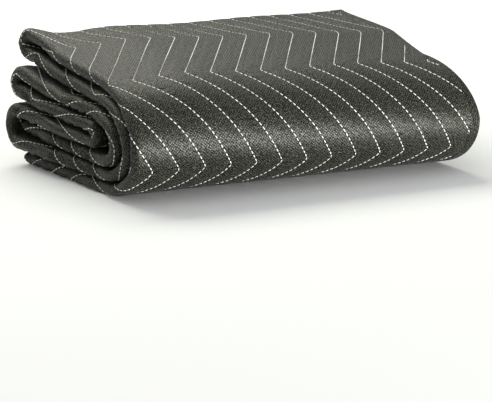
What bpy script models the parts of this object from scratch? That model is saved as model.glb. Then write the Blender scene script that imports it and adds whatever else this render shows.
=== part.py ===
"""Moving pad: a quilted cotton pad, folded twice into a long strip of four layers and then back and forth
into eight passes, as it lies on the top of its stack. Metres, the longest side along X, the folds' ends to -X."""
import math
from collections import namedtuple

import bmesh
import bpy
import numpy as np

MM = 0.001

# the strip: four layers of quilted cloth, each about 4 mm thick
STRIP_THICK = 16.0 * MM
SLIT = 0.8 * MM          # air between its two pairs of layers, open along the right side
END_ROUND = 5.0 * MM     # how far in the sewn hem at each free end thins out
HEM_THIN = 0.62          # its thickness at the very end, as a part of the whole

# the quilting: zigzag lines of stitching pull the cloth in
LINE_GAP = 30.5 * MM     # one line to the next
LINE_LEG = 137.1 * MM    # one point of the zigzag to the next, along the strip
LINE_SHIFT = 81.9 * MM   # how far a leg goes sideways
STITCH_DEPTH = 1.9 * MM  # how deep a line lies under the cloth between two lines
BACK_DEPTH = 0.25        # part of that depth which is left round the back edges
LINE_FIRST = -1          # the lines are counted from here
LINE_LAST = 14
PARKED_GAP = 1.3 * MM    # spacing of columns that have run off a side

# unevenness of the folded pad
BACK_SKEW = 0.217        # the back edges run askew: further back for each metre to the right
CORNER_FLARE = 24.2 * MM # the back left corner sticks out by this
END_FALL = 0.226         # part of the height lost for each metre to the right
FRONT_LEAN = 0.060       # part of the height lost between the first row of points and the front turn
LEAN_LENGTH = 0.121
LEFT_DROOP = 0.049       # part of the height lost at the left end, most of it at the front
CORNER_LIFT = 0.032      # and gained again at the back left corner
TOP_WAVE = 0.006         # part of the height that the top rises and falls by

# how finely it is divided
ROW_PLACES = (0.0, -58.0 * MM)
NOSE_ROWS = (0.0, 0.11, 0.23, 0.348, 0.48, 0.61, 0.73, 0.85, 0.951, 1.0)   # parts of a wide turn, from below
LOOP_ROWS = (0.0, 0.25, 0.50, 0.75, 1.0)                                 # and of a tight one
SLIT_PLACES = (0.0, 0.33, 0.62, 0.80, 0.90, 1.0)   # from the open side to the fold

Pass = namedtuple("Pass", "name back_z front_z left_back left_front right_back right_front")
Turn = namedtuple("Turn", "side start_y end_y reach fall left right")

# the eight passes in the order of the cloth, millimetres; z is the height of the middle of the four layers
PASSES = [
    Pass("foot", 8.0, 8.0, -76, -57, 370, 356),
    Pass("top", 142.9, 132.8, -66, -50, 381, 360),
    Pass("second", 121.5, 114.4, -69, -54, 377, 357),
    Pass("seventh", 26.0, 25.2, -90, -60, 370, 356),
    Pass("fifth", 62.3, 59.8, -90, -62, 371, 356),
    Pass("fourth", 82.0, 78.6, -85, -64, 373, 356),
    Pass("third", 102.2, 95.5, -82, -60, 374, 356),
    Pass("sixth", 44.2, 42.5, -79, -62, 371, 356),
]
# the turn after each pass; a back turn reaches to its y, a front one goes that far out from its start
TURNS = [
    Turn("front", -120, -110, 94.6, 2, -55, 368),
    Turn("back", 0, 0, 66, 0, -71, 382),
    Turn("front", -110, -120, 75.5, 2, -57, 360),
    Turn("back", 0, 0, 62, 0, -92, 371),
    Turn("front", -108, -108, 9.5, 0, -62, 356),
    Turn("back", 0, 0, 58, 0, -86, 375),
    Turn("front", -108, -120, 51.5, 2, -60, 358),
]
FREE_END_Y = 45          # the foot ends here at the back
INNER_END_Y = 42         # and the sixth pass here, inside the third loop

HALF = STRIP_THICK / 2


def ease(t):
    t = np.clip(t, 0.0, 1.0)
    return t * t * (3.0 - 2.0 * t)


def fold_line():
    """The middle of the strip seen from the end: points, the length along them and where each stretch starts."""
    points = []
    starts = []
    y = FREE_END_Y
    for k, p in enumerate(PASSES):
        forward = k % 2 == 0
        z0, z1 = (p.back_z, p.front_z) if forward else (p.front_z, p.back_z)
        last = k == len(TURNS)
        if last:
            y_end = INNER_END_Y
        else:
            turn = TURNS[k]
            z_next = PASSES[k + 1].front_z if forward else PASSES[k + 1].back_z
            half_rise = abs(z_next - z1) / 2
            if turn.side == "front":
                y_end, y_next, swing = turn.start_y, turn.end_y, np.array([-turn.reach, -turn.fall])
            else:
                y_end = y_next = turn.reach - half_rise
                swing = np.array([half_rise, 0.0])
        t = np.linspace(0.0, 1.0, 60)[:, None]
        starts.append(len(points))
        points += list(np.array([y, z0]) * (1 - t) + np.array([y_end, z1]) * t)
        if not last:
            angle = np.linspace(0.0, math.pi, 180)[1:-1, None]
            a = np.array([y_end, z1])
            b = np.array([y_next, z_next])
            starts.append(len(points))
            points += list((a + b) / 2 + (a - b) / 2 * np.cos(angle) + swing * np.sin(angle))
            y = y_next
    points = np.array(points) * MM
    step = np.hypot(*np.diff(points, axis=0).T)
    length = np.concatenate([[0.0], np.cumsum(step)])
    starts = length[starts]
    even = np.arange(0.0, length[-1], 0.5 * MM)
    keep = np.concatenate([[True], step > 1e-7])
    curve = np.stack([np.interp(even, length[keep], points[keep, c]) for c in (0, 1)], axis=1)
    weight = np.hanning(33)
    weight /= weight.sum()
    padded = [np.pad(curve[:, c], 16, mode="reflect", reflect_type="odd") for c in (0, 1)]
    soft = np.stack([np.convolve(column, weight, "valid") for column in padded], axis=1)
    soft_length = np.concatenate([[0.0], np.cumsum(np.hypot(*np.diff(soft, axis=0).T))])
    return soft, soft_length, np.interp(starts, even, soft_length)


LINE, LENGTH, STARTS = fold_line()
TOTAL = LENGTH[-1]
AHEAD = np.gradient(LINE, LENGTH, axis=0)
AHEAD /= np.linalg.norm(AHEAD, axis=1, keepdims=True)
TURNED = np.unwrap(np.arctan2(AHEAD[:, 1], AHEAD[:, 0]))
ON_TOP = (LENGTH > STARTS[2]) & (LENGTH < STARTS[3])
FIRST_POINT = float(np.interp(0.0, LINE[ON_TOP, 0], LENGTH[ON_TOP]))
TURNED -= np.interp(FIRST_POINT, LENGTH, TURNED)
OUTSIDE_GROWTH = 1.0 - HALF * np.gradient(TURNED, LENGTH)
RISEN = np.cumsum(np.gradient(LENGTH) * OUTSIDE_GROWTH * AHEAD[:, 1] ** 2)
RISEN -= np.interp(FIRST_POINT, LENGTH, RISEN)


def side_place(s, right):
    """The left or the right side of the strip at a length s along it."""
    lengths = []
    places = []
    for k, p in enumerate(PASSES):
        pair = (p.right_back, p.right_front) if right else (p.left_back, p.left_front)
        lengths.append(STARTS[2 * k])
        lengths.append(STARTS[2 * k + 1] if k < len(TURNS) else TOTAL)
        places += pair if k % 2 == 0 else pair[::-1]
        if k < len(TURNS):
            lengths.append((STARTS[2 * k + 1] + STARTS[2 * k + 2]) / 2)
            places.append(TURNS[k].right if right else TURNS[k].left)
    i = int(np.clip(np.searchsorted(lengths, s, side="right") - 1, 0, len(lengths) - 2))
    t = ease((s - lengths[i]) / max(lengths[i + 1] - lengths[i], 1e-9))
    return (places[i] + (places[i + 1] - places[i]) * t) * MM


def zigzag(s, x):
    """How far the stitching has gone sideways at a length s and a place x: it keeps its length over the outside."""
    walked = FIRST_POINT - (s - HALF * np.interp(s, LENGTH, TURNED))
    flatter = 1.0 - (1.0 - END_FALL * x) * (1.0 - FRONT_LEAN)
    walked += flatter * np.interp(s, LENGTH, RISEN)
    return -LINE_SHIFT * (1.0 - abs((walked / LINE_LEG) % 2.0 - 1.0))


def groove_part(s):
    """The grooves are pulled nearly flat round the back edges."""
    y = np.interp(s, LENGTH, LINE[:, 0])
    return 1.0 - (1.0 - BACK_DEPTH) * ease((y - 0.012) / 0.03)


def thickness_here(s):
    """Part of the full thickness: the two hems are thinner."""
    from_end = min(s, TOTAL - s)
    return HEM_THIN + (1.0 - HEM_THIN) * math.sin(0.5 * math.pi * min(1.0, from_end / END_ROUND))


def face_columns(s, side):
    """One outer face of the strip at s, from left to right: lines of stitching and the cloth between them."""
    low = side_place(s, False) + HALF
    high = side_place(s, True) - 3.0 * MM
    count = 2 * (LINE_LAST - LINE_FIRST) + 1
    pressed = side > 0 and s < STARTS[1]
    columns = []
    for j in range(count):
        place = (LINE_FIRST + j / 2) * LINE_GAP
        wanted = place + zigzag(s, max(place + zigzag(s, 0.15), low))
        x = min(max(wanted, low + (j + 1) * PARKED_GAP), high - (count - j) * PARKED_GAP)
        depth = STITCH_DEPTH * groove_part(s) if j % 2 == 0 and not pressed else 0.0
        depth *= max(0.0, 1.0 - abs(x - wanted) / (8.0 * MM))
        columns.append((x, side * (HALF - depth)))
    return columns


def section(s):
    """Closed outline of the strip across its length: two pairs of layers joined by the fold on the left."""
    left = side_place(s, False)
    right = side_place(s, True)
    gap = SLIT / 2
    upper = face_columns(s, 1)
    lower = face_columns(s, -1)
    fold = []
    for degrees in (45, 0, -45):
        a = math.radians(degrees)
        fold.append((left + HALF - HALF * math.cos(a), HALF * math.sin(a)))
    corner = [(right - 0.8 * MM, -0.72 * HALF), (right - 0.8 * MM, -0.28 * HALF)]
    open_side = right - 2.5 * MM
    inner = [open_side + (left + HALF - open_side) * place for place in SLIT_PLACES]
    slit = [(x, -gap) for x in inner] + [(left + 0.62 * HALF, 0.0)] + [(x, gap) for x in inner[::-1]]
    outline = upper[::-1] + fold + lower + corner + slit + [(x, -w) for x, w in corner[::-1]]
    k = thickness_here(s)
    return [(x, w * k) for x, w in outline]


def row_lengths():
    """Where the strip is cut into rows: at the same places in every pass and at the same slopes in nested turns."""
    rows = []
    for k in range(len(PASSES)):
        begin = STARTS[2 * k]
        end = STARTS[2 * k + 1] if k < len(TURNS) else TOTAL
        here = (LENGTH > begin) & (LENGTH < end)
        order = np.argsort(LINE[here, 0])
        for place in ROW_PLACES:
            rows.append(float(np.interp(place, LINE[here, 0][order], LENGTH[here][order])))
        if k < len(TURNS):
            here = (LENGTH > end) & (LENGTH < STARTS[2 * k + 2])
            turned = np.abs(TURNED[here] - TURNED[here][0])
            parts = NOSE_ROWS if TURNS[k].reach > 50 and TURNS[k].side == "front" else LOOP_ROWS
            if PASSES[k].front_z > PASSES[k + 1].front_z:
                parts = [1.0 - part for part in parts]
            rows += list(np.interp(np.array(parts) * turned[-1], turned, LENGTH[here]))
    rows = np.array(sorted(rows))
    walked = FIRST_POINT - (LENGTH - HALF * TURNED) + FRONT_LEAN * RISEN
    for k in (1, 2):
        nearest = np.interp(-k * LINE_LEG, -walked[LENGTH < STARTS[3]], LENGTH[LENGTH < STARTS[3]])
        rows[int(np.argmin(abs(rows - nearest)))] = nearest
    inner = [r for r in rows if END_ROUND * 1.4 < r < TOTAL - END_ROUND * 1.4]
    hem = [0.0, END_ROUND * 0.35, END_ROUND]
    return hem + inner + [TOTAL - r for r in hem[::-1]]


def height_part(x, y):
    """Part of its full height that the pad has at a place."""
    t = -y / LEAN_LENGTH
    lean = 0.5 + 0.5 * (np.sqrt(t ** 2 + 0.04) - np.sqrt((t - 1.0) ** 2 + 0.04))
    droop = LEFT_DROOP * ease((0.045 - x) / 0.090) * ease((0.10 - y) / 0.20)
    lift = CORNER_LIFT * ease((-x - 0.01) / 0.06) * ease((y + 0.01) / 0.05)
    wave = TOP_WAVE * (np.sin(x * 31.0 + 0.6) + 0.7 * np.sin(x * 17.0 + y * 23.0))
    return 1.0 - END_FALL * x - FRONT_LEAN * lean - droop + lift + wave


def folded(x, s, w):
    """A point of the flat strip in its place in the folded pad."""
    y = np.interp(s, LENGTH, LINE[:, 0]) - w * np.interp(s, LENGTH, AHEAD[:, 1])
    z = np.interp(s, LENGTH, LINE[:, 1]) + w * np.interp(s, LENGTH, AHEAD[:, 0])
    z = z * height_part(x, y)
    corner = CORNER_FLARE * ease(-x / 0.067)
    y = y + ease((y + 0.012) / 0.057) * (BACK_SKEW * x + corner)
    return x, y, np.maximum(z, 0.0)


def make_pad():
    rows = row_lengths()
    outlines = [section(s) for s in rows]
    across = len(outlines[0])
    mesh = bmesh.new()
    made = bmesh.ops.create_grid(mesh, x_segments=across, y_segments=len(rows) - 1, size=1.0)
    in_order = sorted(made["verts"], key=lambda v: (round(v.co.y, 5), round(v.co.x, 5)))
    for k, vert in enumerate(in_order):
        row, column = divmod(k, across + 1)
        x, w = outlines[row][column % across]
        vert.co = (x, rows[row], w)
    bmesh.ops.remove_doubles(mesh, verts=mesh.verts[:], dist=0.00001)
    for end in (rows[0], rows[-1]):
        rim = [e for e in mesh.edges if e.is_boundary and abs(e.verts[0].co.y - end) < 1e-6]
        bmesh.ops.triangle_fill(mesh, edges=rim, use_beauty=True)
    upper = [face for face in mesh.faces if face.calc_center_median().z > 0.0]
    lower = [face for face in mesh.faces if face.calc_center_median().z <= 0.0]
    bmesh.ops.triangulate(mesh, faces=upper, quad_method="FIXED")
    bmesh.ops.triangulate(mesh, faces=lower, quad_method="ALTERNATE")
    for vert in mesh.verts:
        vert.co = folded(*vert.co)
    middle_x = (min(v.co.x for v in mesh.verts) + max(v.co.x for v in mesh.verts)) / 2
    middle_y = (min(v.co.y for v in mesh.verts) + max(v.co.y for v in mesh.verts)) / 2
    for vert in mesh.verts:
        vert.co.x -= middle_x
        vert.co.y -= middle_y
    bmesh.ops.recalc_face_normals(mesh, faces=mesh.faces[:])
    for face in mesh.faces:
        face.smooth = True
    return mesh


def add_part(name, mesh, material, collection):
    data = bpy.data.meshes.new(name)
    mesh.to_mesh(data)
    mesh.free()
    data.materials.append(material)
    part = bpy.data.objects.new(name, data)
    collection.objects.link(part)
    return part


def cloth_material():
    """Dark grey woven cotton and polyester."""
    material = bpy.data.materials.new("woven_charcoal_cloth")
    material.use_nodes = True
    shader = material.node_tree.nodes["Principled BSDF"]
    shader.inputs["Base Color"].default_value = (0.085, 0.087, 0.078, 1.0)
    shader.inputs["Roughness"].default_value = 0.88
    shader.inputs["Sheen Weight"].default_value = 0.25
    return material


for old in list(bpy.data.objects):
    bpy.data.objects.remove(old, do_unlink=True)

pad_collection = bpy.data.collections.new("moving_pad")
bpy.context.scene.collection.children.link(pad_collection)
add_part("moving_pad_cloth", make_pad(), cloth_material(), pad_collection)
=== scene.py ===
import math
from collections import namedtuple

import bmesh
import bpy
import numpy as np
from mathutils import Euler, Matrix, Vector


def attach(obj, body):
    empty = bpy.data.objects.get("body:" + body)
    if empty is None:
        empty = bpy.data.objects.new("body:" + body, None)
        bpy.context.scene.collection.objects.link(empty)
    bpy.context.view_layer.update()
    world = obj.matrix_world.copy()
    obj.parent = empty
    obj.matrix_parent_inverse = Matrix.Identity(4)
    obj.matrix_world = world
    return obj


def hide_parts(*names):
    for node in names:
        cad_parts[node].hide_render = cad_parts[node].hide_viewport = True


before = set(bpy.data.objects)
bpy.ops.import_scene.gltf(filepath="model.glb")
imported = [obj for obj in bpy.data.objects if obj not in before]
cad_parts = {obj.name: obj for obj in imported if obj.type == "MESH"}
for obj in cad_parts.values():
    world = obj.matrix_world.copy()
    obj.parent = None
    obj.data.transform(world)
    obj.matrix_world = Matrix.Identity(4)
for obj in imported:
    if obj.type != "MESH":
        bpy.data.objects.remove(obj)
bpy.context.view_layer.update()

# Camera
# The photograph looks down on the pad's front from the left, through a long lens from about two metres away.
# The camera's place, like the pad's own sizes, is measured from the zigzag points on the top. The middle of
# the pad lies at MIDDLE_X and MIDDLE_Y from there.
MM = 0.001
MIDDLE_X = 145.8 * MM
MIDDLE_Y = -31.3 * MM
LENS_MM = 153.9
CAMERA_PLACE = (-0.8958 - MIDDLE_X, -2.1707 - MIDDLE_Y, 0.5216)
CAMERA_TURN = 26.41        # degrees to the right of straight ahead
CAMERA_DOWN = 13.48
CAMERA_ROLL = 0.09

lens = bpy.data.cameras.new("camera")
lens.lens = LENS_MM
lens.sensor_width = 36.0
lens.clip_end = 60.0
camera = bpy.data.objects.new("camera", lens)
bpy.context.scene.collection.objects.link(camera)
aim = Euler((math.radians(90 - CAMERA_DOWN), 0.0, -math.radians(CAMERA_TURN)), "XYZ").to_matrix()
roll = Matrix.Rotation(math.radians(CAMERA_ROLL), 3, "Z")
camera.matrix_world = Matrix.Translation(CAMERA_PLACE) @ (aim @ roll).to_4x4()
bpy.context.scene.camera = camera
bpy.context.scene.view_settings.view_transform = "Standard"


# Floor and studio light
# A pale matt floor under one wide soft light above and behind. A low one in front lights the rounded fold,
# and a faint one the left end.
FLOOR_WIDTH = 40.0
FLOOR_HEX = "#fcfdff"
ROOM_HEX = "#f8f9f7"
ROOM_STRENGTH = 0.56


def linear(hex_colour, alpha=1.0):
    """An sRGB hex colour as the linear values that a shader takes."""
    parts = [int(hex_colour[i:i + 2], 16) / 255 for i in (1, 3, 5)]
    return tuple(c / 12.92 if c < 0.04045 else ((c + 0.055) / 1.055) ** 2.4 for c in parts) + (alpha,)


def new_material(name):
    """An empty Principled material, its node tree and its shader."""
    material = bpy.data.materials.new(name)
    material.use_nodes = True
    return material, material.node_tree, material.node_tree.nodes["Principled BSDF"]


def add_node(tree, kind, settings=None, **links):
    """Adds a node: settings are its properties, and each link is a value or another node's output."""
    node = tree.nodes.new(kind)
    for key, value in (settings or {}).items():
        setattr(node, key, value)
    for key, value in links.items():
        socket = node.inputs[int(key[1:]) if key[0] == "i" and key[1:].isdigit() else key.replace("_", " ")]
        if isinstance(value, bpy.types.NodeSocket):
            tree.links.new(value, socket)
        else:
            socket.default_value = value
    return node


floor_material, floor_tree, floor_shader = new_material("matt_studio_floor")
floor_shader.inputs["Base Color"].default_value = linear(FLOOR_HEX)
floor_shader.inputs["Roughness"].default_value = 0.9
floor_shader.inputs["Specular IOR Level"].default_value = 0.15
floor_mesh = bmesh.new()
bmesh.ops.create_grid(floor_mesh, x_segments=1, y_segments=1, size=FLOOR_WIDTH / 2)
floor_data = bpy.data.meshes.new("floor")
floor_mesh.to_mesh(floor_data)
floor_mesh.free()
floor_data.materials.append(floor_material)
floor = bpy.data.objects.new("floor", floor_data)
bpy.context.scene.collection.objects.link(floor)

Softbox = namedtuple("Softbox", "name place aim width height watts hex_colour")
SOFTBOXES = [
    Softbox("light_above_behind", (-0.2, 1.6, 1.9), (0.0, 0.2, 0.1), 2.6, 1.2, 51.0, "#fffff0"),
    Softbox("light_low_front", (0.75, -2.2, 0.085), (0.0, 0.0, 0.06), 1.5, 0.15, 106.0, "#fffffc"),
    Softbox("light_left", (-2.2, -0.5, 1.0), (-0.1, 0.0, 0.07), 1.2, 1.2, 2.0, "#fffffc"),
]
for box in SOFTBOXES:
    light = bpy.data.lights.new(box.name, "AREA")
    light.shape = "RECTANGLE"
    light.size = box.width
    light.size_y = box.height
    light.energy = box.watts
    light.color = linear(box.hex_colour)[:3]
    lamp = bpy.data.objects.new(box.name, light)
    lamp.location = box.place
    lamp.rotation_euler = (Vector(box.aim) - Vector(box.place)).to_track_quat("-Z", "Y").to_euler()
    bpy.context.scene.collection.objects.link(lamp)

world = bpy.data.worlds.new("studio")
bpy.context.scene.world = world
world.use_nodes = True
world.node_tree.nodes["Background"].inputs["Color"].default_value = linear(ROOM_HEX)
world.node_tree.nodes["Background"].inputs["Strength"].default_value = ROOM_STRENGTH


# The pad's cloth
# One piece of dark grey cotton and polyester twill with a thin cotton wadding, quilted in zigzags. It is
# folded in half twice into a long strip of four layers, and the strip back and forth into eight passes.
STRIP_THICK = 16.0 * MM
LAYER_GAP = 0.33 * MM      # air between two of the four layers
END_ROUND = 5.0 * MM       # how far in the hem at each end of the strip thins out
HEM_THIN = 0.62
HALF = STRIP_THICK / 2

Pass = namedtuple("Pass", "name back_z front_z left_back left_front right_back right_front")
Turn = namedtuple("Turn", "side start_y end_y reach fall left right")

# the eight passes in the order of the cloth, millimetres; z is the height of the middle of the four layers
PASSES = [
    Pass("foot", 8.0, 8.0, -76, -57, 370, 356),
    Pass("top", 142.9, 132.8, -66, -50, 387, 357),
    Pass("second", 121.5, 114.4, -69, -54, 377, 357),
    Pass("seventh", 26.0, 25.2, -90, -60, 370, 356),
    Pass("fifth", 62.3, 59.8, -90, -62, 371, 356),
    Pass("fourth", 82.0, 78.6, -85, -64, 373, 356),
    Pass("third", 102.2, 95.5, -82, -60, 374, 356),
    Pass("sixth", 44.2, 42.5, -79, -62, 371, 356),
]
# the turn after each pass; a back turn reaches to its y, a front one goes that far out from its start
TURNS = [
    Turn("front", -120, -110, 94.6, 2, -55, 368),
    Turn("back", 0, 0, 66, 0, -71, 387),
    Turn("front", -110, -120, 75.5, 2, -57, 360),
    Turn("back", 0, 0, 62, 0, -92, 371),
    Turn("front", -108, -108, 9.5, 0, -62, 356),
    Turn("back", 0, 0, 58, 0, -86, 375),
    Turn("front", -108, -120, 51.5, 2, -60, 358),
]
FREE_END_Y = 45
INNER_END_Y = 42

# unevenness of the folded pad; a pair is where a change begins and where it is complete
BACK_SKEW = 0.217          # the back edges run askew: further back for each metre to the right
CORNER_FLARE = 24.2 * MM   # the back left corner sticks out by this
FLARE_X = (0.0, -67.0 * MM)
ASKEW_Y = (-12.0 * MM, 45.0 * MM)   # both grow towards the back
END_FALL = 0.226           # part of the height lost for each metre to the right
FRONT_LEAN = 0.060         # part of the height lost between the first row of points and the front turn
LEAN_LENGTH = 0.121
LEFT_DROOP = 0.052         # part of the height lost at the left end, most of it at the front
DROOP_X = (45.0 * MM, -45.0 * MM)
DROOP_Y = (200.0 * MM, -60.0 * MM)
CORNER_LIFT = 0.055        # and gained again at the back left corner
LIFT_X = (-20.0 * MM, -70.0 * MM)
LIFT_Y = (-10.0 * MM, 40.0 * MM)
TOP_WAVE = 0.006           # part of the height that the top rises and falls by

# the quilting
LINE_GAP = 30.5 * MM       # one line of stitching to the next
LINE_LEG = 137.1 * MM      # one point of the zigzag to the next, along the strip
LINE_SHIFT = 81.9 * MM     # how far a leg goes sideways
STITCH_DEPTH = 1.9 * MM    # how deep a line lies under the cloth between two lines
SLACK_PART = 0.45          # how much deeper it is behind the first row of points
SLACK_BEGINS = (1.0 * MM, 9.0 * MM)
SLACK_ENDS = (43.0 * MM, 55.0 * MM)
TAUT_PART = 0.35           # how much flatter it is on the top in front of them
TAUT_BEGINS = (-110.0 * MM, -80.0 * MM)
TAUT_ENDS = (-4.0 * MM, 4.0 * MM)
PULLED_PART = 0.75         # how much flatter it is round the back turns
PULLED_FROM = 12.0 * MM
PULLED_FROM_ON_TOP = 45.0 * MM
PULLED_OVER = 20.0 * MM
PRESSED_THREAD = 0.6 * MM  # how deep the thread lies where the pad's weight presses the underside flat
GROOVE_HALF = 9.0 * MM     # how far from the line the cloth has come up again
PARKED_FADE = 6.0 * MM     # how far a line has run off its place where its groove is gone
FIRST_LINE = -17
LAST_LINE = 15
PARKED_GAP = 0.35 * MM     # spacing of columns that have run off a side
OPEN_EDGE = 1.2 * MM       # the outside faces end this far from the open side
LINE_END = 7.0 * MM        # and the stitching this far
COLUMNS_FROM_LINE = (0.0, 1.3 * MM, 4.6 * MM, 9.8 * MM, 15.2 * MM, 20.7 * MM, 25.9 * MM, 29.2 * MM)

# how finely the cloth is divided
STEP_SEEN = 5.0 * MM
STEP_HIDDEN = 19.0 * MM
STEP_TURN = 0.214          # radians
# where the faces between the layers are cut, as a part of the way from the fold to the open side
SLIT_PLACES = (0.0, 0.035, 0.07, 0.105, 0.145, 0.19, 0.26, 0.45, 1.0)
# how far a face's points lie to the left and up round the inner fold, as a part of its layer's distance
BEND_UNDER = (0.69, 0.72)
BEND_OVER = (0.72, 0.79)


def rising(value, start, end):
    """A soft step from 0 to 1 while a value goes from its start to its end."""
    t = np.clip((value - start) / (end - start), 0.0, 1.0)
    return t * t * (3.0 - 2.0 * t)


def fold_line():
    """The middle of the strip seen from the end: points, length along them and where each stretch starts."""
    points = []
    starts = []
    y = FREE_END_Y
    for k, p in enumerate(PASSES):
        forward = k % 2 == 0
        z0, z1 = (p.back_z, p.front_z) if forward else (p.front_z, p.back_z)
        last = k == len(TURNS)
        if last:
            y_end = INNER_END_Y
        else:
            turn = TURNS[k]
            z_next = PASSES[k + 1].front_z if forward else PASSES[k + 1].back_z
            half_rise = abs(z_next - z1) / 2
            if turn.side == "front":
                y_end, y_next, swing = turn.start_y, turn.end_y, np.array([-turn.reach, -turn.fall])
            else:
                y_end = y_next = turn.reach - half_rise
                swing = np.array([half_rise, 0.0])
        t = np.linspace(0.0, 1.0, 60)[:, None]
        starts.append(len(points))
        points += list(np.array([y, z0]) * (1 - t) + np.array([y_end, z1]) * t)
        if not last:
            angle = np.linspace(0.0, math.pi, 180)[1:-1, None]
            a = np.array([y_end, z1])
            b = np.array([y_next, z_next])
            starts.append(len(points))
            points += list((a + b) / 2 + (a - b) / 2 * np.cos(angle) + swing * np.sin(angle))
            y = y_next
    points = np.array(points) * MM
    step = np.hypot(*np.diff(points, axis=0).T)
    length = np.concatenate([[0.0], np.cumsum(step)])
    starts = length[starts]
    even = np.arange(0.0, length[-1], 0.5 * MM)
    keep = np.concatenate([[True], step > 1e-7])
    curve = np.stack([np.interp(even, length[keep], points[keep, c]) for c in (0, 1)], axis=1)
    weight = np.hanning(33)
    weight /= weight.sum()
    padded = [np.pad(curve[:, c], 16, mode="reflect", reflect_type="odd") for c in (0, 1)]
    soft = np.stack([np.convolve(column, weight, "valid") for column in padded], axis=1)
    soft_length = np.concatenate([[0.0], np.cumsum(np.hypot(*np.diff(soft, axis=0).T))])
    return soft, soft_length, np.interp(starts, even, soft_length)


LINE, LENGTH, STARTS = fold_line()
TOTAL = LENGTH[-1]
AHEAD = np.gradient(LINE, LENGTH, axis=0)
AHEAD /= np.linalg.norm(AHEAD, axis=1, keepdims=True)
TURNED = np.unwrap(np.arctan2(AHEAD[:, 1], AHEAD[:, 0]))
ON_TOP = (LENGTH > STARTS[2]) & (LENGTH < STARTS[3])
FIRST_POINT = float(np.interp(0.0, LINE[ON_TOP, 0], LENGTH[ON_TOP]))
TURNED -= np.interp(FIRST_POINT, LENGTH, TURNED)
FOLD_ARC = math.pi * HALF / 2
OUTSIDE_GROWTH = 1.0 - HALF * np.gradient(TURNED, LENGTH)
RISEN = np.cumsum(np.gradient(LENGTH) * OUTSIDE_GROWTH * AHEAD[:, 1] ** 2)
RISEN -= np.interp(FIRST_POINT, LENGTH, RISEN)


def side_place(s, right):
    """The left or the right side of the strip at lengths s along it."""
    lengths = []
    places = []
    for k, p in enumerate(PASSES):
        pair = (p.right_back, p.right_front) if right else (p.left_back, p.left_front)
        lengths.append(STARTS[2 * k])
        lengths.append(STARTS[2 * k + 1] if k < len(TURNS) else TOTAL)
        places += pair if k % 2 == 0 else pair[::-1]
        if k < len(TURNS):
            lengths.append((STARTS[2 * k + 1] + STARTS[2 * k + 2]) / 2)
            places.append(TURNS[k].right if right else TURNS[k].left)
    lengths = np.array(lengths)
    places = np.array(places)
    i = np.clip(np.searchsorted(lengths, s, side="right") - 1, 0, len(lengths) - 2)
    t = np.clip((s - lengths[i]) / np.maximum(lengths[i + 1] - lengths[i], 1e-9), 0.0, 1.0)
    return (places[i] + (places[i + 1] - places[i]) * t) * MM


def zigzag(s, x):
    """How far the stitching has gone sideways at a length s and a place x, by its length over the outside."""
    walked = FIRST_POINT - (s - HALF * np.interp(s, LENGTH, TURNED))
    flatter = 1.0 - (1.0 - END_FALL * x) * (1.0 - FRONT_LEAN)
    walked = walked + flatter * np.interp(s, LENGTH, RISEN)
    return -LINE_SHIFT * (1.0 - abs((walked / LINE_LEG) % 2.0 - 1.0))


def across_from_fold(line_place, s):
    """Distance over the cloth from the middle of the fold on the left to a line's place, at lengths s."""
    start = side_place(s, False) + HALF
    rough = line_place + zigzag(s, 0.15) - start + FOLD_ARC
    x = start + np.maximum(np.abs(rough) - FOLD_ARC, 0.0)
    return line_place + zigzag(s, x) - start + FOLD_ARC


def on_outside(across, s, depth):
    """Sideways place and height over the strip's middle of a point on its outside, at a depth under it."""
    angle = np.clip(across / HALF, -math.pi / 2, math.pi / 2)
    past = np.maximum(np.abs(across) - FOLD_ARC, 0.0)
    radius = HALF - depth
    x = side_place(s, False) + HALF - radius * np.cos(angle) + past
    w = radius * np.sin(angle)
    return x, w


def height_part(x, y):
    """Part of its full height that the pad has at a place."""
    t = -y / LEAN_LENGTH
    lean = 0.5 + 0.5 * (np.sqrt(t ** 2 + 0.04) - np.sqrt((t - 1.0) ** 2 + 0.04))
    droop = LEFT_DROOP * rising(x, *DROOP_X) * rising(y, *DROOP_Y)
    lift = CORNER_LIFT * rising(x, *LIFT_X) * rising(y, *LIFT_Y)
    wave = TOP_WAVE * (np.sin(x * 31.0 + 0.6) + 0.7 * np.sin(x * 17.0 + y * 23.0))
    return 1.0 - END_FALL * x - FRONT_LEAN * lean - droop + lift + wave


def folded(x, s, w):
    """Points of the flat strip in their places in the folded pad."""
    y = np.interp(s, LENGTH, LINE[:, 0]) - w * np.interp(s, LENGTH, AHEAD[:, 1])
    z = np.interp(s, LENGTH, LINE[:, 1]) + w * np.interp(s, LENGTH, AHEAD[:, 0])
    z = z * height_part(x, y)
    y = y + rising(y, *ASKEW_Y) * (BACK_SKEW * x + CORNER_FLARE * rising(x, *FLARE_X))
    return np.stack([x - MIDDLE_X, y - MIDDLE_Y, np.maximum(z, 0.0)], axis=-1)


def thickness_here(s):
    """Part of the full thickness: the two hems are thinner."""
    from_end = np.minimum(s, TOTAL - s)
    return HEM_THIN + (1.0 - HEM_THIN) * np.sin(0.5 * math.pi * np.clip(from_end / END_ROUND, 0.0, 1.0))


def row_lengths():
    """Where the strip is cut into rows: closer together where it is seen and in the turns."""
    seen = (LENGTH > STARTS[1] - 0.03) & (LENGTH < STARTS[4])
    step = np.where(seen, STEP_SEEN, STEP_HIDDEN)
    turning = np.concatenate([[0.0], np.abs(np.diff(TURNED))])
    along = np.concatenate([[0.0], np.diff(LENGTH)])
    measure = np.cumsum(along / step + turning / STEP_TURN)
    count = int(round(measure[-1]))
    rows = np.interp(np.linspace(0.0, measure[-1], count + 1), measure, LENGTH)
    rows = rows[(rows > END_ROUND * 1.2) & (rows < TOTAL - END_ROUND * 1.2)]
    hem = END_ROUND * np.array([0.0, 0.12, 0.35, 0.65, 1.0])
    return np.concatenate([hem, rows, TOTAL - hem[::-1]])


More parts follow.
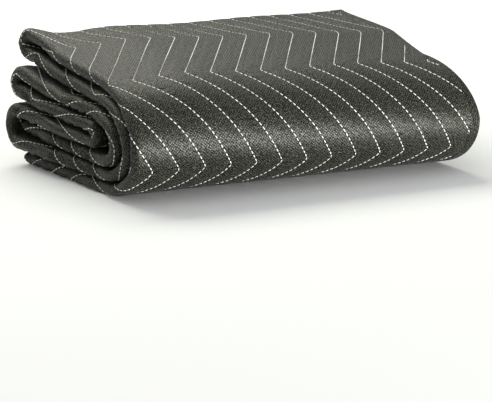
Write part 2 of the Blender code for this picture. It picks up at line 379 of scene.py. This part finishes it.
def groove_part(s):
    """The grooves are deeper where the cloth is slack, behind the first points, and flat round the back."""
    y = np.interp(s, LENGTH, LINE[:, 0])
    on_top = (s > STARTS[2]) & (s < STARTS[3])
    slack = SLACK_PART * rising(y, *SLACK_BEGINS) * (1.0 - rising(y, *SLACK_ENDS))
    taut = TAUT_PART * rising(y, *TAUT_BEGINS) * (1.0 - rising(y, *TAUT_ENDS))
    pulled_from = np.where(on_top, PULLED_FROM_ON_TOP, PULLED_FROM)
    pulled = PULLED_PART * rising(y, pulled_from, pulled_from + PULLED_OVER)
    return (1.0 + np.where(on_top, slack - taut, 0.0)) * (1.0 - pulled)


def outside_columns(s):
    """The strip's outside from the right end of its upper face round the fold to that of its lower face."""
    places = []
    off_line = []
    for line in range(LAST_LINE, FIRST_LINE - 1, -1):
        for step in COLUMNS_FROM_LINE[::-1]:
            places.append(line * LINE_GAP + step)
            off_line.append(min(step, LINE_GAP - step))
    places = np.array(places)
    off_line = np.array(off_line)
    width = side_place(s, True) - side_place(s, False) - HALF - OPEN_EDGE + FOLD_ARC
    wanted = across_from_fold(places[None, :], s[:, None])
    order = np.arange(len(places))[None, :]
    high = width[:, None] - (order + 1) * PARKED_GAP
    low = -width[:, None] + (len(places) - order) * PARKED_GAP
    across = np.clip(wanted, low, high)
    depth = STITCH_DEPTH * (1.0 - rising(off_line, 0.0, GROOVE_HALF))[None, :]
    depth = depth * (1.0 - rising(np.abs(across - wanted), 0.0, PARKED_FADE))
    pressed = (s[:, None] < STARTS[1]) & (across > FOLD_ARC * 0.6)
    depth = np.where(pressed, 0.0, depth) * groove_part(s)[:, None]
    x, w = on_outside(across, s[:, None], depth)
    return x, w, across, np.broadcast_to(off_line[None, :], x.shape)


def inside_columns(s):
    """The faces between the four layers, in the order in which the outline goes round them."""
    left = side_place(s, False)[:, None]
    right = side_place(s, True)[:, None]
    gap = LAYER_GAP / 2
    layer = (STRIP_THICK - 3 * LAYER_GAP) / 4
    inner = layer + LAYER_GAP
    run = np.array(SLIT_PLACES)[None, :]
    start = left + HALF + run * 0.0
    out = start + (right - 2.2 * MM - start) * run
    back = out[:, ::-1]
    pieces = []

    def level(x, w):
        pieces.append((x, np.full_like(x, w)))

    def corner(points):
        for x, w in points:
            pieces.append((x, np.full_like(x, w)))

    corner([(right - 0.3 * MM, -0.86 * HALF), (right, -inner), (right - 0.3 * MM, -0.14 * HALF)])
    level(back, -gap)
    corner([(left + HALF * 0.99, 0.0)])
    level(out, gap)
    corner([(right - 1.4 * MM, 0.3 * layer), (right - 1.4 * MM, 0.7 * layer + gap)])
    level(back, inner - gap)
    to_left, up = BEND_UNDER
    corner([(left + HALF - to_left * inner, up * inner), (left + HALF - inner + gap, 0.0),
            (left + HALF - to_left * inner, -up * inner)])
    level(out, -inner + gap)
    corner([(right - 1.7 * MM, -inner)])
    level(back, -inner - gap)
    to_left, up = BEND_OVER
    corner([(left + HALF - to_left * inner, -up * inner), (left + HALF - inner - gap, 0.0),
            (left + HALF - to_left * inner, up * inner)])
    level(out, inner + gap)
    corner([(right - 0.4 * MM, inner + 0.3 * layer), (right - 0.4 * MM, inner + 0.75 * layer)])
    x = np.concatenate([p[0] for p in pieces], axis=1)
    w = np.concatenate([p[1] for p in pieces], axis=1)
    return x, w


def make_cloth():
    s = row_lengths()
    x_out, w_out, across, off_line = outside_columns(s)
    x_in, w_in = inside_columns(s)
    x = np.concatenate([x_out, x_in], axis=1)
    w = np.concatenate([w_out, w_in], axis=1) * thickness_here(s)[:, None]
    cut = np.concatenate([across, across[:, -1:] - np.cumsum(np.full_like(x_in, 8.0 * MM), axis=1)], axis=1)
    seam = np.concatenate([off_line, np.full_like(x_in, LINE_GAP / 2)], axis=1)
    rows, columns = x.shape
    mesh = bmesh.new()
    made = bmesh.ops.create_grid(mesh, x_segments=columns, y_segments=rows - 1, size=1.0)
    in_order = sorted(made["verts"], key=lambda v: (round(v.co.y, 5), round(v.co.x, 5)))
    flat_place = {}
    seam_place = {}
    for k, vert in enumerate(in_order):
        row, column = divmod(k, columns + 1)
        here = column % columns
        vert.co = (x[row, here], s[row], w[row, here])
        flat_place[vert] = (cut[row, here], s[row])
        seam_place[vert] = (seam[row, here], s[row])
    flat_map = mesh.loops.layers.uv.new("cloth_metres")
    seam_map = mesh.loops.layers.uv.new("seam_metres")
    for face in mesh.faces:
        for loop in face.loops:
            loop[flat_map].uv = flat_place[loop.vert]
            loop[seam_map].uv = seam_place[loop.vert]
    bmesh.ops.remove_doubles(mesh, verts=mesh.verts[:], dist=0.000001)
    for end in (s[0], s[-1]):
        rim = [e for e in mesh.edges if e.is_boundary and abs(e.verts[0].co.y - end) < 1e-6]
        bmesh.ops.triangle_fill(mesh, edges=rim, use_beauty=True)
    places = np.array([vert.co for vert in mesh.verts])
    places = folded(places[:, 0], places[:, 1], places[:, 2])
    for vert, place in zip(mesh.verts, places):
        vert.co = place
    bmesh.ops.recalc_face_normals(mesh, faces=mesh.faces[:])
    for face in mesh.faces:
        face.smooth = True
    return mesh


# The cloth is a twill weave of dark grey and lighter yarns: matt, a little mottled, with a soft sheen where
# it turns away. The real yarns are about 0.5 mm apart, finer than the picture shows, so the twill is drawn at
# 2.4 mm.
CLOTH_DARK_HEX = "#020302"
CLOTH_LIGHT_HEX = "#25261f"
CLOTH_LINT_HEX = "#74756a"
TWILL_PITCH = 2.4 * MM
TWILL_HEIGHT = 0.5 * MM
BANDS_REPEAT = 0.31417     # metres from one band of a wave texture to the next, at scale 1
SLUBS_A_METRE = 330.0      # thick places in the yarns
PUCKERS_A_METRE = 110.0    # small folds drawn in by the stitches
PUCKER_REACH = 9.0 * MM
PUCKER_HEIGHT = 2.2 * MM


def add_math(tree, operation, **values):
    """Adds a node that works one sum, and gives its result."""
    return add_node(tree, "ShaderNodeMath", {"operation": operation}, **values).outputs[0]


def ribbed(tree, direction, turned):
    """Soft uneven ribs across a direction, one twill pitch apart."""
    return add_node(tree, "ShaderNodeTexWave", {"wave_type": "BANDS", "bands_direction": direction},
                    Vector=turned, Scale=BANDS_REPEAT / TWILL_PITCH, Distortion=1.2, Detail=2.0,
                    Detail_Scale=2.0).outputs["Fac"]


def twill_weave(tree, flat):
    """The height of the woven yarns: two crossing sets of ribs, uneven yarns and their thick places."""
    turned = add_node(tree, "ShaderNodeMapping", i0=flat, Rotation=(0.0, 0.0, math.radians(38))).outputs[0]
    knots = add_math(tree, "MULTIPLY", i0=ribbed(tree, "X", turned), i1=ribbed(tree, "Y", turned))
    yarn = add_node(tree, "ShaderNodeTexNoise", Vector=flat, Scale=520.0, Detail=2.0, Roughness=0.6)
    woven = add_math(tree, "MULTIPLY_ADD", i0=knots, i1=0.8, i2=yarn.outputs["Fac"])
    slubs = add_node(tree, "ShaderNodeTexNoise", Vector=flat, Scale=SLUBS_A_METRE, Detail=1.0)
    slubbed = add_math(tree, "SUBTRACT", i0=slubs.outputs["Fac"], i1=0.5)
    return add_math(tree, "MULTIPLY_ADD", i0=slubbed, i1=1.15, i2=woven)


def yarn_colour(tree, flat, weave):
    """Dark and lighter yarns by the weave, mottled over the pad, with flecks of lint."""
    spot = add_node(tree, "ShaderNodeTexCoord").outputs["Object"]
    patches = add_node(tree, "ShaderNodeTexNoise", Vector=spot, Scale=9.0, Detail=4.0, Roughness=0.6)
    lint = add_node(tree, "ShaderNodeTexNoise", Vector=flat, Scale=900.0, Detail=1.0)
    mottled = add_math(tree, "MULTIPLY_ADD", i0=patches.outputs["Fac"], i1=0.4, i2=weave)
    shade = add_node(tree, "ShaderNodeMapRange", i0=mottled, i1=0.84, i2=1.34).outputs[0]
    colour = add_node(tree, "ShaderNodeMix", {"data_type": "RGBA"}, i0=shade, i6=linear(CLOTH_DARK_HEX),
                      i7=linear(CLOTH_LIGHT_HEX)).outputs[2]
    flecks = add_node(tree, "ShaderNodeMapRange", i0=lint.outputs["Fac"], i1=0.60, i2=0.72).outputs[0]
    return add_node(tree, "ShaderNodeMix", {"data_type": "RGBA"}, i0=flecks, i6=colour,
                    i7=linear(CLOTH_LINT_HEX)).outputs[2]


def seam_puckers(tree):
    """Small folds across each line of stitching, which fade out beside it."""
    seam = add_node(tree, "ShaderNodeUVMap", {"uv_map": "seam_metres"}).outputs["UV"]
    drawn = add_node(tree, "ShaderNodeMapping", i0=seam, Scale=(35.0, PUCKERS_A_METRE, 1.0)).outputs[0]
    pucker = add_node(tree, "ShaderNodeTexNoise", Vector=drawn, Scale=1.0, Detail=1.0).outputs["Fac"]
    off_seam = add_node(tree, "ShaderNodeSeparateXYZ", i0=seam).outputs["X"]
    near = add_node(tree, "ShaderNodeMapRange", i0=off_seam, i1=PUCKER_REACH, i2=0.0, i3=0.0, i4=1.0)
    drawn_in = add_math(tree, "MULTIPLY", i0=pucker, i1=near.outputs[0])
    return add_node(tree, "ShaderNodeBump", Height=drawn_in, Strength=1.0, Distance=PUCKER_HEIGHT).outputs[0]


def woven_cloth():
    """Dark grey twill, duller and rougher between the yarns than on them."""
    material, tree, shader = new_material("woven_cotton_polyester_twill")
    flat = add_node(tree, "ShaderNodeUVMap", {"uv_map": "cloth_metres"}).outputs["UV"]
    weave = twill_weave(tree, flat)
    tree.links.new(yarn_colour(tree, flat, weave), shader.inputs["Base Color"])
    rough = add_node(tree, "ShaderNodeMapRange", i0=weave, i1=0.4, i2=1.1, i3=0.60, i4=0.40).outputs[0]
    tree.links.new(rough, shader.inputs["Roughness"])
    shine = add_node(tree, "ShaderNodeMapRange", i0=weave, i1=0.40, i2=1.10, i3=0.11, i4=0.51).outputs[0]
    tree.links.new(shine, shader.inputs["Specular IOR Level"])
    bump = add_node(tree, "ShaderNodeBump", Height=weave, Strength=0.35, Distance=TWILL_HEIGHT,
                    Normal=seam_puckers(tree)).outputs[0]
    tree.links.new(bump, shader.inputs["Normal"])
    shader.inputs["Specular Tint"].default_value = linear("#fdfdf3")
    shader.inputs["Sheen Weight"].default_value = 0.02
    shader.inputs["Sheen Roughness"].default_value = 0.45
    shader.inputs["Sheen Tint"].default_value = linear("#d8d9d4")
    return material


def add_piece(name, data, material):
    data.materials.append(material)
    piece = bpy.data.objects.new(name, data)
    bpy.context.scene.collection.objects.link(piece)
    return piece


cloth_mesh = make_cloth()
cloth_data = bpy.data.meshes.new("pad_cloth")
cloth_mesh.to_mesh(cloth_data)
cloth_mesh.free()
pad_cloth = add_piece("pad_cloth", cloth_data, woven_cloth())
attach(pad_cloth, "root")
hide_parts("moving_pad_cloth")


# The quilting thread
# Thick white polyester thread in a long running stitch: each stitch is a short plump stroke that lies in its
# groove.
STITCH_PITCH = 6.0 * MM
STITCH_LENGTH = 4.4 * MM
STITCH_WIDTH = 1.2 * MM
STITCH_HEIGHT = 0.9 * MM
STITCH_LIFT = 0.25 * MM    # the middle of the thread over the bottom of the groove
THREAD_HEX = "#f2f2ec"
THREAD_WORN_HEX = "#d2d2ca"


def stitch_shape():
    """One stitch, a low bead from -1 to 1 along X, as its points and faces."""
    mesh = bmesh.new()
    turned = Matrix.Rotation(math.radians(90), 4, "Y")
    bmesh.ops.create_uvsphere(mesh, u_segments=4, v_segments=3, radius=1.0, matrix=turned)
    for vert in mesh.verts:
        if abs(vert.co.x) < 0.9:
            vert.co.x *= 1.3
    mesh.verts.ensure_lookup_table()
    points = np.array([vert.co for vert in mesh.verts])
    faces = [[vert.index for vert in face.verts] for face in mesh.faces]
    mesh.free()
    return points, faces


def stitch_places():
    """Middle, direction and outward side of every stitch on the strip's outside."""
    s = np.arange(3.0 * MM, TOTAL - 3.0 * MM, 1.0 * MM)
    middles = []
    aheads = []
    outs = []
    for line in range(FIRST_LINE, LAST_LINE + 1):
        across = across_from_fold(line * LINE_GAP, s)
        limit = side_place(s, True) - side_place(s, False) - HALF + FOLD_ARC - LINE_END
        on_cloth = np.abs(across) < limit
        pressed = (s < STARTS[1]) & (across > FOLD_ARC * 0.6)
        depth = np.where(pressed, PRESSED_THREAD, STITCH_DEPTH * groove_part(s))
        x, w = on_outside(across, s, depth - STITCH_LIFT)
        x_out, w_out = on_outside(across, s, depth - STITCH_LIFT - 1.0 * MM)
        here = folded(x, s, w)
        over = folded(x_out, s, w_out)
        breaks = np.where(np.diff(on_cloth.astype(int)) != 0)[0] + 1
        for run in np.split(np.arange(len(s)), breaks):
            if not on_cloth[run[0]] or len(run) < 12:
                continue
            path = here[run]
            walked = np.concatenate([[0.0], np.cumsum(np.linalg.norm(np.diff(path, axis=0), axis=1))])
            starts = np.arange(1.0 * MM, walked[-1] - STITCH_LENGTH, STITCH_PITCH)
            first = np.stack([np.interp(starts, walked, path[:, c]) for c in range(3)], axis=1)
            last = np.stack([np.interp(starts + STITCH_LENGTH, walked, path[:, c]) for c in range(3)], axis=1)
            side = np.stack([np.interp(starts, walked, (over - here)[run, c]) for c in range(3)], axis=1)
            middles.append((first + last) / 2)
            aheads.append(last - first)
            outs.append(side)
    return np.concatenate(middles), np.concatenate(aheads), np.concatenate(outs)


def make_thread():
    points, faces = stitch_shape()
    middle, ahead, out = stitch_places()
    ahead /= np.linalg.norm(ahead, axis=1, keepdims=True)
    out -= ahead * np.sum(out * ahead, axis=1, keepdims=True)
    out /= np.linalg.norm(out, axis=1, keepdims=True)
    side = np.cross(out, ahead)
    size = 0.5 * np.array([STITCH_LENGTH, STITCH_WIDTH, STITCH_HEIGHT])
    turn = np.stack([ahead * size[0], side * size[1], out * size[2]], axis=1)
    placed = middle[:, None, :] + np.einsum("pk,nkc->npc", points, turn)
    placed[..., 2] = np.maximum(placed[..., 2], 0.0)
    count = len(middle)
    corners = np.concatenate([np.array(face, int) for face in faces])
    sizes = np.array([len(face) for face in faces])
    corners = (corners[None, :] + (np.arange(count) * len(points))[:, None]).reshape(-1)
    sizes = np.tile(sizes, count)
    data = bpy.data.meshes.new("quilting_thread")
    data.vertices.add(count * len(points))
    data.vertices.foreach_set("co", placed.reshape(-1))
    data.loops.add(len(corners))
    data.loops.foreach_set("vertex_index", corners)
    data.polygons.add(len(sizes))
    data.polygons.foreach_set("loop_start", np.concatenate([[0], np.cumsum(sizes)[:-1]]))
    data.update(calc_edges=True)
    data.polygons.foreach_set("use_smooth", np.ones(len(sizes), bool))
    return data


def thread_finish():
    """Twisted polyester thread, white and slightly glossy, greyer where it has picked up dust."""
    material, tree, shader = new_material("white_polyester_thread")
    spot = add_node(tree, "ShaderNodeTexCoord").outputs["Object"]
    dust = add_node(tree, "ShaderNodeTexNoise", Vector=spot, Scale=60.0, Detail=2.0).outputs["Fac"]
    amount = add_node(tree, "ShaderNodeMapRange", i0=dust, i1=0.35, i2=0.75).outputs[0]
    colour = add_node(tree, "ShaderNodeMix", {"data_type": "RGBA"}, i0=amount, i6=linear(THREAD_HEX),
                      i7=linear(THREAD_WORN_HEX)).outputs[2]
    tree.links.new(colour, shader.inputs["Base Color"])
    shader.inputs["Roughness"].default_value = 0.55
    shader.inputs["Sheen Weight"].default_value = 0.15
    return material


quilting_thread = add_piece("quilting_thread", make_thread(), thread_finish())
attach(quilting_thread, "root")
